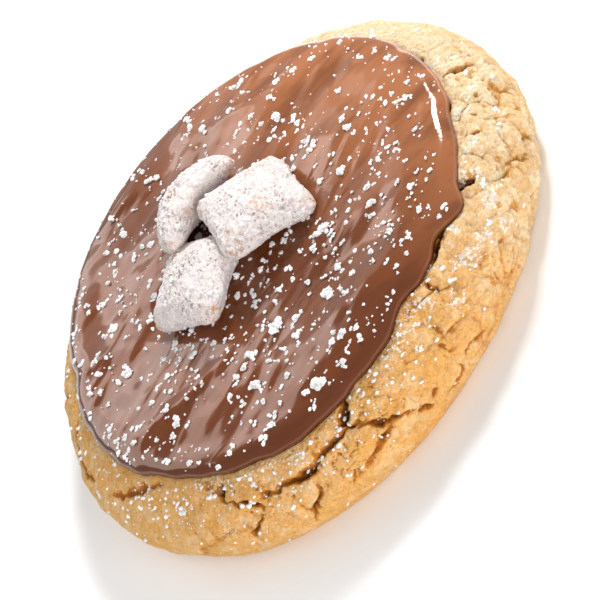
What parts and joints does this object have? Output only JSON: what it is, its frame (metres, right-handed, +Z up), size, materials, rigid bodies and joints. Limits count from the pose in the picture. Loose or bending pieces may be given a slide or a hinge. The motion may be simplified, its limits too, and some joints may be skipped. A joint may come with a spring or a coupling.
{
  "type": "peanut butter cookie",
  "caption": "Round soft-baked peanut butter cookie with a milk chocolate spread, sugar-coated cereal pillows and a dusting of icing sugar, resting flat.",
  "frame": {"origin": "middle of the cookie's flat underside", "axes": "+Z up through the thickness, -Y towards the side that the picture shows nearest the camera"},
  "size_m": [0.1103, 0.109, 0.031],
  "materials": {
    "dough": "baked peanut butter dough, matt and crumbly, with cracks round the rim",
    "chocolate": "smooth glossy milk chocolate, spread with soft ridges",
    "sugared_cereal": "puffed cereal under a thick, rough coat of icing sugar",
    "icing_sugar": "matt white clumps of icing sugar"
  },
  "bodies": {
    "root": {"cookie": "dough", "chocolate": "chocolate", "cereal_left": "sugared_cereal", "cereal_back": "sugared_cereal", "cereal_top": "sugared_cereal"}
  },
  "joints": []
}
